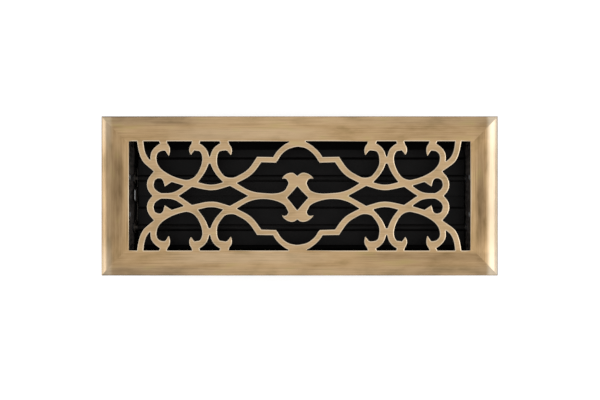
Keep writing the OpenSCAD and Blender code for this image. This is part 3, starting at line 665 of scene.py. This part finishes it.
for node in ("end_bracket_left", "end_bracket_right"):
    shown(node, eased(node, 0.0002), dark_zinc)
for node in ("bracket_rivets", "plate_screws"):
    shown(node, eased(node, 0.0002), bright_zinc)


# Damper blades
# Roll formed sheet steel in the same enamel as the box. Straps under the bead, two spot welds
# each, hold the pivot rod, and the electrode leaves a dimple with a raised rim at every weld.

for side in ("rear", "front"):
    for node in ("blade_" + side, "rod_clips_" + side):
        shown(node, eased(node, 0.0002), black_enamel)

weld_marks = bpy.data.node_groups.new("weld_marks", "GeometryNodeTree")
for name in ("Strap pitch", "Foot spread", "Dimple radius", "Rim radius"):
    weld_marks.interface.new_socket(name=name, in_out="INPUT", socket_type="NodeSocketFloat")
weld_marks.interface.new_socket(name="Middle", in_out="INPUT", socket_type="NodeSocketVector")
weld_marks.interface.new_socket(name="Marks", in_out="OUTPUT", socket_type="NodeSocketGeometry")
given = add(weld_marks, "NodeGroupInput").outputs
row_length = add(weld_marks, "ShaderNodeMath", {0: given["Strap pitch"], 1: 2.0}, operation="MULTIPLY")
feet = add(weld_marks, "GeometryNodeMeshGrid",
           {"Size X": row_length.outputs[0], "Size Y": given["Foot spread"], "Vertices X": 3,
            "Vertices Y": 2})
dimple = add(weld_marks, "GeometryNodeCurvePrimitiveCircle",
             {"Resolution": 20, "Radius": given["Dimple radius"]})
rim = add(weld_marks, "GeometryNodeCurvePrimitiveCircle", {"Resolution": 6, "Radius": given["Rim radius"]})
ring = add(weld_marks, "GeometryNodeCurveToMesh",
           {"Curve": dimple.outputs[0], "Profile Curve": rim.outputs[0]})
spots = add(weld_marks, "GeometryNodeInstanceOnPoints",
            {"Points": feet.outputs["Mesh"], "Instance": ring.outputs[0]})
spots = add(weld_marks, "GeometryNodeTransform",
            {"Geometry": spots.outputs[0], "Translation": given["Middle"]})
spots = add(weld_marks, "GeometryNodeRealizeInstances", {"Geometry": spots.outputs[0]})
spots = add(weld_marks, "GeometryNodeSetMaterial", {"Geometry": spots.outputs[0], "Material": black_enamel})
add(weld_marks, "NodeGroupOutput", {"Marks": spots.outputs[0]})

for side in ("rear", "front"):
    low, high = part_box("pivot_rod_" + side)
    sizes = {"Strap pitch": 0.1034, "Foot spread": 0.011, "Dimple radius": 0.0015, "Rim radius": 0.00015,
             "Middle": (0.0, (low[1] + high[1]) / 2, -0.020)}
    marks = bpy.data.objects.new("weld_marks_" + side, bpy.data.meshes.new("weld_marks_" + side))
    bpy.context.scene.collection.objects.link(marks)
    grown = marks.modifiers.new("weld_marks", "NODES")
    grown.node_group = weld_marks
    for socket in weld_marks.interface.items_tree:
        if socket.in_out == "INPUT":
            grown[socket.identifier] = sizes[socket.name]
    marked = bpy.data.meshes.new_from_object(marks.evaluated_get(bpy.context.evaluated_depsgraph_get()))
    marks.modifiers.clear()
    marks.data = marked
    bm = bmesh.new()
    bm.from_mesh(marked)
    bmesh.ops.recalc_face_normals(bm, faces=bm.faces)
    for face in bm.faces:
        face.smooth = True
    bm.to_mesh(marked)
    bm.free()
    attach(marks, side + "_blade")


# Pivot rods, caps, cranks and link
# Steel rods cut to length, push-on caps, and cranks and a link bar stamped from 1 mm sheet, all
# passivated dark like the brackets. The end of the thumb tab is light grey, worn by fingers and
# painted as a highlight where light from above falls on it.

for side in ("rear", "front"):
    for name in ("pivot_rod_", "rod_caps_", "crank_", "link_pin_"):
        shown(name + side, eased(name + side, 0.00015), dark_zinc)
shown("link_bar", eased("link_bar", 0.00015), dark_zinc)


# Bushes
# Flanged bearings for the rods, injection moulded in black nylon and snapped into the end walls:
# an even, slightly bluish black with the fine spark texture of the mould.

black_nylon = finish_named("black_nylon")
tree = black_nylon.node_tree
place = add(tree, "ShaderNodeTexCoord").outputs["Object"]
# the mould's texture is 0.05 mm fine and drawn 0.4 mm across; the flow marks are 3 mm across
flow = add(tree, "ShaderNodeTexNoise", {"Vector": place, "Scale": 330.0, "Detail": 2.0})
nylon = add(tree, "ShaderNodeValToRGB", {"Fac": flow.outputs["Fac"]},
            stops=[(0.35, "#19191C"), (0.65, "#212126")])
spark = add(tree, "ShaderNodeTexNoise", {"Vector": place, "Scale": 2500.0, "Detail": 1.0})
pits = add(tree, "ShaderNodeBump", {"Height": spark.outputs["Fac"], "Strength": 0.25, "Distance": 0.00003})
body = add(tree, "ShaderNodeBsdfPrincipled",
           {"Base Color": nylon.outputs["Color"], "Roughness": 0.5, "IOR": 1.53,
            "Normal": pits.outputs[0]})
add(tree, "ShaderNodeOutputMaterial", {"Surface": body.outputs[0]})
shown("pivot_bushes", eased("pivot_bushes", 0.00015), black_nylon)


# Studio
# Not part of the object: a pale paper floor under the box, a bright ceiling with darker walls at
# both sides, and two soft boxes low at the left and the right, for the bevels of the ends.

floor_z = cad_box[0][2] - 0.0001
mesh = bpy.data.meshes.new("floor")
rings = [(5, 5), (0.1465, 0.0475)]
mesh.from_pydata([(sx * x, sy * y, floor_z) for x, y in rings
                  for sx, sy in ((-1, -1), (1, -1), (1, 1), (-1, 1))],
                 [], [(4, 5, 6, 7)] + [(i, (i + 1) % 4, 4 + (i + 1) % 4, 4 + i) for i in range(4)])
floor = bpy.data.objects.new("floor", mesh)
bpy.context.scene.collection.objects.link(floor)
paper = finish_named("white_paper")
tree = paper.node_tree
path = add(tree, "ShaderNodeLightPath")
seen = add(tree, "ShaderNodeMath", {0: path.outputs["Is Camera Ray"], 1: path.outputs["Is Glossy Ray"]},
           operation="MAXIMUM")
seen = add(tree, "ShaderNodeMath", {0: seen.outputs[0], 1: path.outputs["Is Transmission Ray"]},
           operation="MAXIMUM")
glow = add(tree, "ShaderNodeMath", {0: seen.outputs[0], 1: 0.55}, operation="MULTIPLY")
matt = add(tree, "ShaderNodeBsdfDiffuse", {"Color": linear("#DCDCDC")})
lit = add(tree, "ShaderNodeEmission", {"Color": linear("#FFFFFF"), "Strength": glow.outputs[0]})
both = add(tree, "ShaderNodeAddShader", {0: matt.outputs[0], 1: lit.outputs[0]})
add(tree, "ShaderNodeOutputMaterial", {"Surface": both.outputs[0]})
# inside the box the floor is only matt, and painted a darker grey: a painted shade for the box's shadow
shaded = finish_named("shaded_paper")
tree = shaded.node_tree
matt = add(tree, "ShaderNodeBsdfDiffuse", {"Color": linear("#8C8C8C")})
add(tree, "ShaderNodeOutputMaterial", {"Surface": matt.outputs[0]})
floor.data.materials.append(shaded)
floor.data.materials.append(paper)
floor.data.polygons.foreach_set("material_index", [0, 1, 1, 1, 1])

world = bpy.data.worlds.new("studio")
bpy.context.scene.world = world
world.use_nodes = True
tree = world.node_tree
tree.nodes.clear()
path = add(tree, "ShaderNodeLightPath")
heading = add(tree, "ShaderNodeTexCoord").outputs["Generated"]
parts = add(tree, "ShaderNodeSeparateXYZ", {0: heading})
ceiling = add(tree, "ShaderNodeMapRange",
              {"Value": parts.outputs["X"], "From Min": 0.26, "From Max": 0.52,
               "To Min": 1.0, "To Max": 0.5}, interpolation_type="SMOOTHSTEP")
left_wall = add(tree, "ShaderNodeMapRange",
                {"Value": parts.outputs["X"], "From Min": -0.26, "From Max": -0.52,
                 "To Min": 1.0, "To Max": 0.76}, interpolation_type="SMOOTHSTEP")
ceiling = add(tree, "ShaderNodeMath", {0: ceiling.outputs[0], 1: left_wall.outputs[0]},
              operation="MULTIPLY")
low = add(tree, "ShaderNodeMapRange",
          {"Value": parts.outputs["Z"], "From Min": 0.0, "From Max": 0.5,
           "To Min": 0.9, "To Max": 1.0}, interpolation_type="SMOOTHSTEP")
studio = add(tree, "ShaderNodeMath", {0: ceiling.outputs[0], 1: low.outputs[0]}, operation="MULTIPLY")
seen = add(tree, "ShaderNodeMath", {0: studio.outputs[0], 1: path.outputs["Is Camera Ray"]},
           operation="MAXIMUM")
sky = add(tree, "ShaderNodeBackground", {"Color": linear("#FFFFFF"), "Strength": seen.outputs[0]})
add(tree, "ShaderNodeOutputWorld", {"Surface": sky.outputs[0]})

for name, x, z, across, power in (("soft_box_left", -1.42, 0.25, 0.6, 3.2),
                                  ("soft_box_right", 1.3, 0.95, 1.5, 9.8)):
    lamp = bpy.data.lights.new(name, "AREA")
    lamp.shape = "RECTANGLE"
    lamp.size = across
    lamp.size_y = 1.2
    lamp.energy = power
    box_light = bpy.data.objects.new(name, lamp)
    box_light.location = (x, 0, z)
    box_light.rotation_euler = (0, math.atan2(x, z), 0)
    bpy.context.scene.collection.objects.link(box_light)

lens = bpy.data.cameras.new("camera")
lens.sensor_width = 36
lens.lens = 50
lens.clip_start = 0.01
camera = bpy.data.objects.new("camera", lens)
camera.location = (0.0003, -0.0035, 0.7155)
bpy.context.scene.collection.objects.link(camera)
bpy.context.scene.camera = camera
bpy.context.scene.view_settings.view_transform = "Standard"
